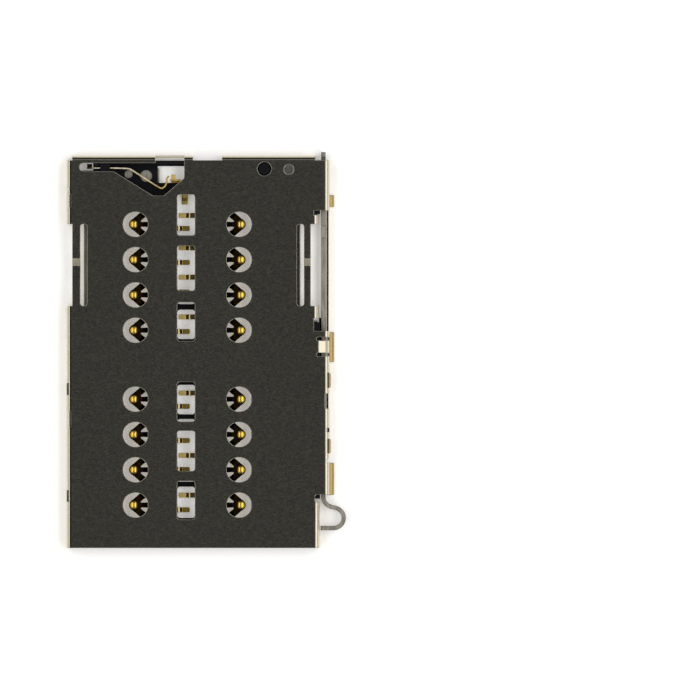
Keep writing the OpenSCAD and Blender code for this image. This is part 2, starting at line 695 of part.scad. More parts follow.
// The spring in plan, bump at the origin: two outer legs closing in a V on the tip, and a centre tongue
tip_r = 0.36;
tongue_w = 0.68;
slot_w = 0.24;
module spring_plan(length) {
    half = contact_w / 2;
    inner = tongue_w / 2 + slot_w;
    circle(tip_r);
    for (m = [0, 1]) mirror([0, m]) polygon([
        [length, inner], [1.2, inner + 0.05], [0.95, inner + 0.05], [0.3, 0.13],
        [-0.19, 0.31], [0.42, 0.83], [0.85, half], [length, half]
    ]);
    polygon([
        [0, -0.115], [0.45, -0.115], [1, -0.17], [1.25, -tongue_w / 2 + 0.07], [length, -tongue_w / 2],
        [length, tongue_w / 2], [1.25, tongue_w / 2 - 0.07], [1, 0.17], [0.45, 0.115], [0, 0.115]
    ]);
}

// The spring tilted up from its bend, with a hollow dimple pressed into the tip
module contact_spring(i) {
    length = reach / cos(tilt);
    dome_r = 0.3;
    dome_z = -0.06;
    at_contact(i) translate([reach, 0, root_z]) rotate([0, tilt, 0]) translate([-length, 0, 0])
        difference() {
            union() {
                linear_extrude(strip_t) spring_plan(length + 0.02);
                intersection() {
                    translate([0, 0, dome_z]) sphere(dome_r);
                    block([-dome_r, dome_r], [-dome_r, dome_r], [strip_t / 2, over]);
                }
            }
            translate([0, 0, dome_z]) sphere(dome_r - strip_t);
        }
}

module contact(i) {
    color("#d8cfae") union() {
        contact_root(i);
        contact_tail(i);
        contact_spring(i);
    }
}

// A strip of the leaf in plan between two points, with a round end
module leaf_strip(p, q) {
    run = q - p;
    translate(p) rotate(atan2(run[1], run[0])) translate([0, -leaf_t / 2]) square([norm(run), leaf_t]);
    translate(q) circle(leaf_t / 2);
}

// The switch leaf stands on edge; its root goes down through the floor to a solder foot
module switch_arm() {
    foot_l = 0.36;
    root_y = [leaf_y - leaf_t / 2, leaf_y + leaf_t / 2];
    color("#c9a24a") union() {
        translate([0, leaf_y, leaf_z[0]]) linear_extrude(leaf_z[1] - leaf_z[0])
            for (k = [0:len(leaf_path) - 2]) leaf_strip(leaf_path[k], leaf_path[k + 1]);
        block(leaf_root_x, root_y, [0, leaf_z[1]]);
        block(leaf_root_x, [root_y[0], root_y[0] + foot_l], [0, leaf_t]);
    }
}

// The fixed switch contact: a strip under the moulding from the middle slot to the window
switch_lane_w = 0.25;
switch_lane_y = switch_window_y[0] - 0.4;
switch_tail_y = min(floor_slots[len(floor_slots) - 1][1], switch_lane_y);
// The switch tail's level, slope and foot, drawn in where the next tail leaves less room
switch_tail = [0.16, tail_slope, 0.34];
switch_tail_l = switch_tail[0] + switch_tail[1] + switch_tail[2];
next_tail_y = row_y(1, rows - 1) + right_tail_shift[per_card - 1] + tail_w / 2;
tail_room = min(1, (switch_tail_y - next_tail_y - side_gap) / switch_tail_l);
module switch_root() {
    z = [root_z, root_z + strip_t];
    lane = [switch_lane_y, switch_lane_y + switch_lane_w];
    block([blade_x[0] + side_gap, blade_x[1]], [lane[0], blade_y + strip_t], z);
    block([blade_x[0] + side_gap, switch_tail_x[1]], lane, z);
    block(switch_tail_x, [switch_tail_y, lane[1]], z);
}

module switch_contact() {
    blade_top = leaf_z[1] - 0.08;
    color("#c9a24a") union() {
        switch_root();
        block(blade_x, [blade_y, blade_y + strip_t], [root_z, blade_top]);
        block(lug_x, [blade_y, blade_y + lug_l], [blade_top - strip_t, blade_top]);
        translate([(switch_tail_x[0] + switch_tail_x[1]) / 2, switch_tail_y, 0]) rotate([0, 0, -90])
            tail(
                switch_tail[0] * tail_room, switch_tail[1] * tail_room, switch_tail[2] * tail_room,
                switch_tail_x[1] - switch_tail_x[0]
            );
    }
}

// A bent stretch of the push rod's strip about an upright axis
module rod_bend(centre, r, from, to) {
    translate([centre[0], centre[1], rod_z]) rotate([0, 0, from])
        rotate_extrude(angle = to - from) translate([r - rod_t / 2, 0]) square([rod_t, rod_h]);
}

// The push rod: a strip on edge along the right side, bent into a push loop at the front
module push_rod() {
    z = [rod_z, rod_z + rod_h];
    start = [rod_x + bend_r, loop_start];
    bend_end = start - bend_r * [cos(bend_turn), sin(bend_turn)];
    heading = bend_turn - 90;
    run_end = bend_end + loop_run * [cos(heading), sin(heading)];
    loop_mid = run_end + loop_r * [sin(heading), -cos(heading)];
    slot_z = [lever_z - running_gap, lever_z + lever_t + running_gap];
    slot_y = [rod_slot_y - rod_slot_l / 2, rod_slot_y + rod_slot_l / 2];
    end_y = [loop_mid[1] - loop_r - rod_t / 2, loop_mid[1] - loop_r + rod_t / 2];
    slope = [
        [rod_x - rod_t / 2, z[1]], [rod_x + rod_t / 2 + over, z[1] - flat_d * (1 + over / rod_t)],
        [rod_x + rod_t / 2 + over, z[1] + over], [rod_x - rod_t / 2, z[1] + over]
    ];
    color("#8d8b86") union() {
        difference() {
            block([rod_x - rod_t / 2, rod_x + rod_t / 2], [loop_start, rod_back], z);
            block([rod_x - over, rod_x + over], slot_y, slot_z);
            translate([0, flat_y[1], 0]) rotate([90, 0, 0])
                linear_extrude(flat_y[1] - flat_y[0]) polygon(slope);
            block([rod_x - over, rod_x + over], nick_y, [z[1] - nick_d, z[1] + over]);
        }
        rod_bend(start, bend_r, half_turn, half_turn + bend_turn);
        translate([bend_end[0], bend_end[1], rod_z]) rotate([0, 0, heading])
            block([-seam, loop_run + seam], [seam_drop - rod_t / 2, rod_t / 2 - seam_drop], [0, rod_h]);
        rod_bend(loop_mid, loop_r, -90, heading + 90);
        block([step_x + side_gap, loop_mid[0]], end_y, z);
    }
}

// One arm of the eject lever, with a round end
module lever_arm(length, width, angle) {
    rotate([0, 0, angle]) {
        block([0, length], [-width / 2, width / 2], [0, lever_t]);
        translate([length, 0, 0]) cylinder(h = lever_t, r = width / 2);
    }
}

module eject_lever() {
    color("#a3a19a") translate([pivot[0], pivot[1], lever_z]) difference() {
        union() {
            cylinder(h = lever_t, r = hub_r);
            lever_arm(outer_len, lever_w, outer_angle);
            lever_arm(inner_len, inner_w, inner_angle);
        }
        translate([0, 0, -over]) cylinder(h = 3 * over, r = pin_r + running_gap);
    }
}

// The lever's pin stands on the floor and is staked flush in the cover
module lever_pin() {
    color("#57554f") translate([pivot[0], pivot[1], 0]) union() {
        translate([0, 0, floor_t]) cylinder(h = top_in - floor_t, r = pin_r);
        translate([0, 0, top_in]) cylinder(h = sheet_t, r = pin_head_r);
    }
}

cover_shell();
base_housing();
base_frame();
for (i = [1:2 * per_card]) contact(i);
switch_arm();
switch_contact();
push_rod();
eject_lever();
lever_pin();
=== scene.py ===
# %% [markdown]
# # A low board socket for a two-card tray
# The socket lies flat on its solder side and is seen from straight above, as on a copy stand: a dark
# satin steel cover, pierced so that the springs and solder tails under it show against the pale table.
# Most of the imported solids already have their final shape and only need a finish. The sixteen contacts
# and the switch leaf are bent from thin strip in soft curves, so they are built again here as smooth
# surfaces. The table, the light and the camera come last.

import math
from functools import partial

import bpy
import numpy as np
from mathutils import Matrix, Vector


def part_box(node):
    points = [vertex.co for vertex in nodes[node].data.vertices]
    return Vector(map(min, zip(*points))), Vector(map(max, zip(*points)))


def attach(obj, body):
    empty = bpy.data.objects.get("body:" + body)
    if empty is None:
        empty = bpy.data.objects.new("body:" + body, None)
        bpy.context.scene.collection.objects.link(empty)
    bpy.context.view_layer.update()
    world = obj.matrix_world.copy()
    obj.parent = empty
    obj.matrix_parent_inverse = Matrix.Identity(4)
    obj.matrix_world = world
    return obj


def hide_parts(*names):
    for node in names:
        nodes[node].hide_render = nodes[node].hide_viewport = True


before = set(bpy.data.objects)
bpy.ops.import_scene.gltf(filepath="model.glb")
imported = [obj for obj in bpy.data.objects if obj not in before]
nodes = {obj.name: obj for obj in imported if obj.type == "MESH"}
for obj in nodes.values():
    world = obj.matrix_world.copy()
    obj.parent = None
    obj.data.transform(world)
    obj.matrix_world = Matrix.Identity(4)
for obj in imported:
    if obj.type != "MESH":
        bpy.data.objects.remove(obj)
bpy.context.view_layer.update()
MM = 0.001

# %% [markdown]
# ## Colours and node trees
# Colours are given as sRGB hex values, but a shader works on linear light, so one function
# turns the first into the second. Every material is a small tree, and one function adds a node, sets
# its choices and its colour stops, and fills its sockets with numbers or with what other nodes give.

# %% Helpers for every material
# A noise node mostly gives values between these two
NOISE_SPAN = (0.3, 0.7)


def linear(code):
    """sRGB hex to linear: c = channel / 255, then ((c + 0.055) / 1.055) ** 2.4, or c / 12.92 near black."""
    channels = [int(code[i : i + 2], 16) / 255 for i in (1, 3, 5)]
    return tuple(((c + 0.055) / 1.055) ** 2.4 if c > 0.04045 else c / 12.92 for c in channels) + (1.0,)


def add(tree, kind, sockets=(), stops=(), **choices):
    """Adds a node with its choices; sockets go by name or in order, and a node means its first output."""
    made = tree.nodes.new("ShaderNode" + kind)
    for name, value in choices.items():
        setattr(made, name, value)
    for name, value in sockets.items() if isinstance(sockets, dict) else enumerate(sockets):
        if isinstance(value, bpy.types.Node):
            value = value.outputs[0]
        if isinstance(value, bpy.types.NodeSocket):
            tree.links.new(value, made.inputs[name])
        else:
            made.inputs[name].default_value = value
    if stops:
        colours = made.color_ramp.elements
        colours.remove(colours[1])
        colours[0].position = stops[0][0]
        colours[0].color = linear(stops[0][1])
        for at, code in stops[1:]:
            colours.new(at).color = linear(code)
    return made


def blend(tree, share, first, second):
    """The colour that goes from the first to the second as the share goes from 0 to 1."""
    return add(tree, "Mix", {0: share, 6: first, 7: second}, data_type="RGBA").outputs[2]


def new_material(name):
    """An empty material, its tree, and the place and the facing of a point on the object it is on."""
    material = bpy.data.materials.new(name)
    material.use_nodes = True
    tree = material.node_tree
    tree.nodes.clear()
    point = add(tree, "TexCoord").outputs
    return material, tree, point["Object"], add(tree, "SeparateXYZ", [point["Normal"]]).outputs


def finish_with(material, *names):
    """Puts one material on every slot of the named solids."""
    for name in names:
        for place in nodes[name].material_slots:
            place.material = material


print("linear mid grey:", [round(c, 3) for c in linear("#808080")[:3]])

# %% [markdown]
# ## Edges
# A punched edge on sheet metal is never sharp: it is rolled over by some hundredths of a millimetre and
# catches the light as a thin line. Rounding the mesh would change the imported solid, so a Bevel node
# rounds only the normals. Where its normal leans away from the face's own, there is an edge, and the
# share found there carries a painted highlight or a painted shade as another colour.

# %% Rounded edges
FLAT_COSINE = 0.99
SHEET_ROLL = 0.08
# The cosine at which an edge counts in full, and the share of its painted highlight or shade there
COVER_EDGE = (0.9, 0.75)
STEEL_EDGE = (0.88, 0.8)


def rounded_edge(tree, radius, lean_full, most, samples):
    """A rounded normal, and a share from 0 to most as its cosine to the face's own falls to lean_full."""
    normal = add(tree, "Bevel", {"Radius": radius * MM}, samples=samples)
    own = add(tree, "NewGeometry").outputs["Normal"]
    lean = add(tree, "VectorMath", (normal, own), operation="DOT_PRODUCT").outputs["Value"]
    return normal, add(tree, "MapRange", (lean, FLAT_COSINE, lean_full, 0.0, most))


print("an edge begins where the normal leans", round(math.degrees(math.acos(FLAT_COSINE)), 1), "degrees")

# %% [markdown]
# ## The cover: satin cold-rolled steel with painted highlights on its folds
# The sheet is rolled, so its top carries a fine short grain across the socket, and it mirrors whatever
# is overhead in a soft blur. The tabs and low walls carry plating, gold at the board and paler higher up.
# Every fold and cut edge carries a pale painted highlight. The folds are told from the top by how far
# their normal leans from straight up, and the tabs by their height. Level faces half way up the walls
# are coloured brown. A painted dark reflection runs along the rear fold, and a thinner one where the
# left fold begins. The latch beams' bumps slope gently to the rear too, and there the sheet keeps its
# satin top.

# %% Cover steel
# The real grain is a few hundredths of a millimetre; it is drawn about three times as coarse to show at all
GRAIN = (0.167, 0.071, 0.167)
MOTTLE = 0.35
MOTTLE_SHARE = 0.25
TOP_STOPS = [(0.3, "#3f3e39"), (0.5, "#4b4a44"), (0.72, "#595851")]
# Plating on the tabs and low walls, paling with height into the painted highlight of the folds
PLATING_AND_HIGHLIGHT_STOPS = [(0.0, "#c4ac70"), (0.3, "#c9b27a"), (0.55, "#dcd1b3"), (1.0, "#e0d8c3")]
# Level faces half way up the walls are coloured brown, darker higher up
MID_WALL_BAND = [(0.17, "#000000"), (0.2, "#ffffff"), (0.7, "#ffffff"), (0.73, "#000000")]
MID_WALL_BROWN_STOPS = [(0.4, "#6b6146"), (0.6, "#1c180e")]
INNER_GOLD = "#b89a4c"
# Painted dark reflection: a dark line along the rear fold and where the left fold begins
DARK_REFLECTION_LINE = "#17130a"
# A pale painted highlight on every rounded cut edge of the cover
EDGE_HIGHLIGHT = "#d6cfba"
TOP_ROUGH = (0.27, 0.36)
PLATED_ROUGH = 0.44
GRAIN_DEPTH = 0.01 * MM
TAB_HEIGHT = (1.2 * MM, 1.1 * MM)
REAR_FOLD = 13.5 * MM
# Parts of a unit normal, from where a face begins to count as such to where it fully does
FOLD_HIGHLIGHT_LEAN = (1.0, 0.95)
UNDER_FACE = (-0.3, -0.7)
LEVEL_FACE = (0.8, 0.95)
BACK_LEAN = (0.15, 0.3)
STILL_UP = (0.8, 0.88)
LEFT_LEAN = (-0.03, -0.08)
NEARLY_UP = (0.93, 0.96)
sheet_top = float(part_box("cover_shell")[1][2])


def walls_plating_and_highlight(tree, height, facing):
    """Plating from gold at the board to a pale painted highlight at the top, gold inside, brown on level
    mid-wall faces.
    """
    plating = add(tree, "ValToRGB", [height], PLATING_AND_HIGHLIGHT_STOPS)
    below = add(tree, "MapRange", (facing["Z"], *UNDER_FACE, 0.0, 1.0))
    inside = blend(tree, below, plating.outputs[0], linear(INNER_GOLD))
    level = add(tree, "MapRange", (facing["Z"], *LEVEL_FACE, 0.0, 1.0))
    band = add(tree, "ValToRGB", [height], MID_WALL_BAND)
    mid_wall_level = add(tree, "Math", (level, band), operation="MULTIPLY")
    brown = add(tree, "ValToRGB", [height], MID_WALL_BROWN_STOPS)
    return blend(tree, mid_wall_level, inside, brown.outputs[0])


def dark_reflection_lines(tree, spot, facing):
    """Shares of 1 on painted dark reflections at the rear and left fold, and on what leans back before the
    rear.
    """
    rearward = add(tree, "MapRange", (facing["Y"], *BACK_LEAN, 0.0, 1.0))
    upward = add(tree, "MapRange", (facing["Z"], *STILL_UP, 0.0, 1.0))
    turned = add(tree, "Math", (rearward, upward), operation="MULTIPLY")
    behind = add(tree, "Math", (spot["Y"], REAR_FOLD), operation="GREATER_THAN")
    rear_line = add(tree, "Math", (turned, behind), operation="MULTIPLY")
    bump_front = add(tree, "Math", (turned, rear_line), operation="SUBTRACT")
    leftward = add(tree, "MapRange", (facing["X"], *LEFT_LEAN, 0.0, 1.0))
    barely = add(tree, "MapRange", (facing["Z"], *NEARLY_UP, 0.0, 1.0))
    left_line = add(tree, "Math", (leftward, barely), operation="MULTIPLY")
    return add(tree, "Math", (rear_line, left_line), operation="MAXIMUM"), bump_front


def cover_steel():
    """Dark satin on top, a painted highlight on folds and plating low down, and a painted highlight on every
    cut edge.
    """
    material, tree, place, facing = new_material("cold_rolled_steel_satin")
    spot = add(tree, "SeparateXYZ", [place]).outputs
    stretch = add(tree, "Mapping", {"Vector": place, "Scale": [1 / (size * MM) for size in GRAIN]})
    grain = add(tree, "TexNoise", {"Vector": stretch, "Scale": 1.0, "Detail": 3.0, "Roughness": 0.6})
    mottle = add(tree, "TexNoise", {"Vector": place, "Scale": 1 / (MOTTLE * MM), "Detail": 2.0})
    tone = add(tree, "Mix", {0: MOTTLE_SHARE, 2: grain, 3: mottle})
    top = add(tree, "ValToRGB", [tone], TOP_STOPS)
    # Painted highlight: faces leaning from straight up, the folds, take the plating colours
    leans = add(tree, "MapRange", (facing["Z"], *FOLD_HIGHLIGHT_LEAN, 0.0, 1.0))
    is_low = add(tree, "MapRange", (spot["Z"], *TAB_HEIGHT, 0.0, 1.0))
    folded = add(tree, "Math", (leans, is_low), operation="MAXIMUM")
    # The share named bare carries the painted dark reflection lines along the rear and the left fold
    bare, bump_front = dark_reflection_lines(tree, spot, facing)
    highlight_or_plated = add(tree, "Math", (folded, bump_front), operation="SUBTRACT", use_clamp=True)
    height = add(tree, "MapRange", (spot["Z"], 0.0, sheet_top, 0.0, 1.0))
    sheet = blend(tree, highlight_or_plated, top.outputs[0], walls_plating_and_highlight(tree, height, facing))
    skin = blend(tree, bare, sheet, linear(DARK_REFLECTION_LINE))
    # Painted highlight where the rounded normal leans away at cut edges
    normal, edge = rounded_edge(tree, SHEET_ROLL, *COVER_EDGE, samples=8)
    colour = blend(tree, edge, skin, linear(EDGE_HIGHLIGHT))
    satin = add(tree, "MapRange", (grain, *NOISE_SPAN, *TOP_ROUGH))
    bright = add(tree, "Math", (edge, highlight_or_plated), operation="MAXIMUM")
    rough = add(tree, "Mix", {0: bright, 2: satin, 3: PLATED_ROUGH})
    relief = {"Height": grain, "Strength": 0.1, "Distance": GRAIN_DEPTH, "Normal": normal}
    surface = {"Base Color": colour, "Roughness": rough, "Normal": add(tree, "Bump", relief), "Metallic": 1.0}
    add(tree, "OutputMaterial", [add(tree, "BsdfPrincipled", surface)])
    return material


finish_with(cover_steel(), "cover_shell")
print("cover finished; its top is", round(sheet_top / MM, 3), "mm above the board")

# %% [markdown]
# ## The base: glass-filled liquid crystal polymer
# A moulding this thin is shot in a stiff dark plastic, blue-black and cloudy, as its underside shows.
# Its upper faces lie in the shade of the cover and are painted nearly black as painted shade. A slow
# noise carries the clouds, a fine one the matte skin, and the face's own direction tells top from underside.

# %% Base plastic
CLOUD = 1.5
MATTE_SKIN = 0.1
SKIN_ROUGH = (0.5, 0.65)
SKIN_DEPTH = 0.012 * MM
MOULD_EDGE = 0.03 * MM
BASE_UNDER = (0.3, -0.5)
POLYMER_IOR = 1.6
POLYMER_SHINE = 0.08
UNDER_STOPS = [(0.3, "#121824"), (0.55, "#1c2535"), (0.75, "#2b3648")]
# Painted shade: the upper faces, under the cover, are nearly black
UPPER_SHADE_STOPS = [(0.3, "#07080b"), (0.7, "#0d0f15")]


def base_plastic():
    """Painted-shade black above and blue-black clouds below, with a matte skin over both."""
    material, tree, place, facing = new_material("glass_filled_polymer_moulding")
    cloud = add(tree, "TexNoise", {"Vector": place, "Scale": 1 / (CLOUD * MM), "Detail": 6.0})
    under = add(tree, "ValToRGB", [cloud], UNDER_STOPS)
    upper = add(tree, "ValToRGB", [cloud], UPPER_SHADE_STOPS)
    below = add(tree, "MapRange", (facing["Z"], *BASE_UNDER, 0.0, 1.0))
    colour = blend(tree, below, upper.outputs[0], under.outputs[0])
    skin = add(tree, "TexNoise", {"Vector": place, "Scale": 1 / (MATTE_SKIN * MM), "Detail": 3.0})
    rough = add(tree, "MapRange", (skin, *NOISE_SPAN, *SKIN_ROUGH))
    normal = add(tree, "Bevel", {"Radius": MOULD_EDGE}, samples=4)
    relief = {"Height": skin, "Strength": 0.2, "Distance": SKIN_DEPTH, "Normal": normal}
    surface = {"Base Color": colour, "Roughness": rough, "Normal": add(tree, "Bump", relief)}
    surface.update({"IOR": POLYMER_IOR, "Specular IOR Level": POLYMER_SHINE})
    add(tree, "OutputMaterial", [add(tree, "BsdfPrincipled", surface)])
    return material


finish_with(base_plastic(), "base_housing")
print("base finished")

# %% [markdown]
# ## Bare steels: the frame, the push rod, the lever and its pin
# These are strip and sheet cut without plating. The frame shows its rolled face. The rod stands on
# edge, so its upper face is a sheared edge, rougher and paler than a rolled one. One function makes
# them all, from two shades, a painted edge colour (a pale painted highlight, on the rod a dark painted
# shade), the size of a rolling line along X, Y and Z, and the range of roughness.

# %% Bare steels


def bare_steel(name, dark, light, rim, line, smooth, matte):
    """Rolling lines of the given size in mm between two shades, and a painted highlight or shade on rounded
    edges.
    """
    material, tree, place, _ = new_material(name)
    stretch = add(tree, "Mapping", {"Vector": place, "Scale": [1 / (size * MM) for size in line]})
    lines = add(tree, "TexNoise", {"Vector": stretch, "Scale": 1.0, "Detail": 4.0, "Roughness": 0.6})
    shade = add(tree, "ValToRGB", [lines], [(0.32, dark), (0.7, light)])
    rough = add(tree, "MapRange", (lines, *NOISE_SPAN, smooth, matte))
    normal, edge = rounded_edge(tree, SHEET_ROLL, *STEEL_EDGE, samples=6)
    colour = blend(tree, edge, shade.outputs[0], linear(rim))
    relief = {"Height": lines, "Strength": 0.15, "Distance": GRAIN_DEPTH, "Normal": normal}
    surface = {"Base Color": colour, "Roughness": rough, "Normal": add(tree, "Bump", relief), "Metallic": 1.0}
    add(tree, "OutputMaterial", [add(tree, "BsdfPrincipled", surface)])
    return material


# The fourth colour is painted on the rounded edges: a pale painted highlight, and on the rod a dark painted
# shade
frame_sheet = bare_steel("rolled_frame_sheet", "#8d8b80", "#b5b3a8", "#c9c7bc", (0.1, 1.5, 0.3), 0.4, 0.5)
rod_strip = bare_steel("sheared_rod_strip", "#7a746a", "#a8a399", "#5c5850", (0.2, 1.2, 0.08), 0.5, 0.62)
lever_sheet = bare_steel("stamped_lever", "#9a978f", "#bcb9b0", "#c9c6bd", (0.8, 0.1, 0.3), 0.35, 0.45)
pin_end = bare_steel("staked_pin_steel", "#4c4a45", "#65625c", "#b3b0a6", (0.2, 0.2, 0.3), 0.4, 0.5)
finish_with(frame_sheet, "base_frame")
finish_with(rod_strip, "push_rod")
finish_with(lever_sheet, "eject_lever")
finish_with(pin_end, "lever_pin")
print("bare steels finished")

# %% [markdown]
# ## The contacts' finish: copper alloy, nickel below, gold where it touches
# Gold costs money, so the thick gold is laid only on the dimple that meets the card, and a thin flash
# on the solder tail. The upper faces of the legs are painted dark brown to black as painted shade, and
# the under faces keep pale nickel. The tails carry painted highlights on their bends and painted shade
# on their steps. The legs' zones follow the distance from the middle line of the two columns, and the
# tails' and the dimple's follow their height, so one material fits a whole column. The left column's
# feet get other painted light and shade than the right's, so each column has its own stops for them.

# %% Contact plating
FIELD_X = -0.77 * MM
ZONES = 5.0 * MM
TAIL_TOP = 0.45 * MM
DIMPLE_Z = (0.9 * MM, 0.945 * MM)
# Painted shade on the legs' upper faces: dark brown to black
LEG_SHADE_STOPS = [(0.36, "#5a4318"), (0.5, "#0a0702"), (0.7, "#0e0903"), (0.77, "#241905")]
# Painted highlights on the tails' bends and painted shade on their steps, different for each column
LEFT_FOOT_LIGHT_AND_SHADE = [(0.269, "#8b7434"), (0.278, "#f0dfa0"), (0.42, "#f0dfa0"), (0.5, "#4a3a14")]
RIGHT_FOOT_LIGHT_AND_SHADE = [(0.29, "#e3c978"), (0.4, "#a88c42"), (0.62, "#a88c42")]
BEND_HIGHLIGHT_STOPS = [(0.72, "#f0dfa0"), (0.868, "#f0dfa0"), (0.886, "#5e4f26")]
NICKEL_STOPS = [(0.15, "#d8c690"), (0.24, "#e2d9c0"), (0.6, "#e2d9c0"), (0.68, "#dcb968"), (0.85, "#d6ac4e")]
DIMPLE_GOLD = "#c4a443"
LEG_START = (0.16, 0.24)
STRIP_UNDER = (0.2, -0.3)
LEG_ROUGH = (0.2, 0.3)
TAIL_ROUGH = 0.36
RUB = 0.25
STRIP_EDGE = 0.025 * MM


def contact_plating(name, foot_light_stops):
    """Painted shade on legs by distance, painted light on tails by height (foot, step, bend, level), gold
    dimple, pale under faces.
    """
    material, tree, place, facing = new_material(name)
    spot = add(tree, "SeparateXYZ", [place]).outputs
    across = add(tree, "Math", (spot["X"], FIELD_X), operation="SUBTRACT")
    away = add(tree, "Math", [across], operation="ABSOLUTE")
    zone = add(tree, "MapRange", (away, 0.0, ZONES, 0.0, 1.0))
    # Painted shade on the legs, by distance from the middle line
    leg_shade = add(tree, "ValToRGB", [zone], LEG_SHADE_STOPS)
    height = add(tree, "MapRange", (spot["Z"], 0.0, TAIL_TOP, 0.0, 1.0))
    tail = add(tree, "ValToRGB", [height], foot_light_stops + BEND_HIGHLIGHT_STOPS)
    is_leg = add(tree, "MapRange", (zone, *LEG_START, 0.0, 1.0))
    upper = blend(tree, is_leg, tail.outputs[0], leg_shade.outputs[0])
    lower = add(tree, "ValToRGB", [zone], NICKEL_STOPS)
    below = add(tree, "MapRange", (facing["Z"], *STRIP_UNDER, 0.0, 1.0))
    strip = blend(tree, below, upper, lower.outputs[0])
    dimple = add(tree, "MapRange", (spot["Z"], *DIMPLE_Z, 0.0, 1.0))
    colour = blend(tree, dimple, strip, linear(DIMPLE_GOLD))
    wear = add(tree, "TexNoise", {"Vector": place, "Scale": 1 / (RUB * MM), "Detail": 3.0})
    satin = add(tree, "MapRange", (wear, *NOISE_SPAN, *LEG_ROUGH))
    rough = add(tree, "Mix", {0: is_leg, 2: TAIL_ROUGH, 3: satin})
    normal = add(tree, "Bevel", {"Radius": STRIP_EDGE}, samples=6)
    surface = {"Base Color": colour, "Roughness": rough, "Normal": normal, "Metallic": 1.0}
    add(tree, "OutputMaterial", [add(tree, "BsdfPrincipled", surface)])
    return material


# One copy per column, each with its own painted light and shade on the feet
contact_finish = {
    -1: contact_plating("gold_over_nickel_left_painted_light", LEFT_FOOT_LIGHT_AND_SHADE),
    1: contact_plating("gold_over_nickel_right_painted_light", RIGHT_FOOT_LIGHT_AND_SHADE),
}
print("contact finishes:", [finish.name for finish in contact_finish.values()])

# %% [markdown]
# ## The contacts' outline: one strip, stamped flat
# A contact is punched out of flat strip as a fork with a long stem. It could be drawn as one long list
# of corners, but its parts are plain shapes, so the outline is a distance that is negative inside, and
# the parts' distances are joined with rounded inner corners. The strip is drawn with its dimple at the
# origin and its stem along u; all the sizes below are in millimetres.

# %% Contact outline
TIP_R = 0.36
HALF_W = 1.14
REACH = 2.1
BAR = 0.34
LANE = (2.5, 2.86)
TAIL_HALF = 0.18
FOOT_ROUND = 0.09
BITE = 0.02
FILLET = 0.07
TONGUE_FILLET = 0.2
SAMPLE_FOOT = (3.6, 4.1)
LEG_INNER = [(2.1, 0.58), (1.2, 0.63), (0.95, 0.63), (0.3, 0.13)]
LEG_OUTER = [(-0.19, 0.31), (0.42, 0.83), (0.85, HALF_W), (2.1, HALF_W)]
TONGUE_SIDE = [(-0.1, 0.13), (0.45, 0.16), (1.0, 0.2), (1.25, 0.29), (2.1, 0.36)]
tongue = TONGUE_SIDE + [(u, -v) for u, v in reversed(TONGUE_SIDE)]


def to_polygon(u, v, corners):
    """Least distance to the sides, made negative where a line to +u crosses an odd number of them."""
    least = np.full(u.shape, np.inf)
    inside = np.zeros(u.shape, bool)
    for (au, av), (bu, bv) in zip(corners, corners[1:] + corners[:1]):
        run, rise = bu - au, bv - av
        along = np.clip(((u - au) * run + (v - av) * rise) / (run**2 + rise**2), 0, 1)
        least = np.minimum(least, np.hypot(u - au - along * run, v - av - along * rise))
        if rise:
            inside ^= ((av > v) != (bv > v)) & (u < au + (v - av) * run / rise)
    return np.where(inside, -least, least)


def to_box(u, v, across, up, corner=0.0):
    """Distance to an upright box between two spans, with corners of the given radius."""
    du = np.abs(u - sum(across) / 2) - (across[1] - across[0]) / 2 + corner
    dv = np.abs(v - sum(up) / 2) - (up[1] - up[0]) / 2 + corner
    return np.minimum(np.maximum(du, dv), 0) + np.hypot(np.maximum(du, 0), np.maximum(dv, 0)) - corner


def join(first, second, fillet=FILLET):
    """The lesser of two distances, lowered where they are nearly equal, which rounds the inner corner."""
    near = np.maximum(fillet - np.abs(first - second), 0) / fillet
    return np.minimum(first, second) - near**2 * fillet / 4


def contact_distance(u, v, shift, foot):
    """The whole flat outline: tip, two legs, tongue, root bar, lane and tail, joined one after another."""
    stem = (-TAIL_HALF, TAIL_HALF)
    tail = (shift - TAIL_HALF, shift + TAIL_HALF)
    lane = (min(stem[0], tail[0]), max(stem[1], tail[1]))
    whole = join(np.hypot(u, v) - TIP_R, to_polygon(u, np.abs(v), LEG_INNER + LEG_OUTER))
    whole = join(whole, to_polygon(u, v, tongue), fillet=TONGUE_FILLET)
    whole = join(whole, to_box(u, v, (REACH - BITE, REACH + BAR), (-HALF_W, HALF_W)))
    whole = join(whole, to_box(u, v, (REACH + BAR - BITE, LANE[1]), stem))
    whole = join(whole, to_box(u, v, LANE, lane))
    return join(whole, to_box(u, v, (LANE[0], foot[1]), tail, corner=FOOT_ROUND))


sample_u, sample_v = np.array([0.0, 1.5]), np.array([0.0, 0.46])
gap = contact_distance(sample_u, sample_v, 0.0, SAMPLE_FOOT)
print("distance in the tip and in the gap beside the tongue, mm:", gap.round(3))

# %% [markdown]
# ## The contacts' bends
# The tip is pressed into a dimple and the strip is bent across: up in a soft curve at the fork, down in
# a step at the solder foot. The height of its middle is therefore a function of the place on the flat
# strip. A square grid is laid over the outline, the grid points next to the edge are moved onto the
# edge, and the cells outside are dropped. Both faces then lie half a thickness from the middle along
# its normal, and a rim closes them.

# %% Contact height and sheet
STRIP = 0.12
LIFT = 0.5
ROOT_LEVEL = 0.34
STEP_RUN = 0.14
STEP_END = 0.1
STEP_ROUND = np.linspace(-0.08, 0.08, 9)
DIMPLE_R = 0.31
DIMPLE_RISE = 0.09
GRID = 0.03
SNAP = 0.6 * GRID
SHARP = math.radians(50)


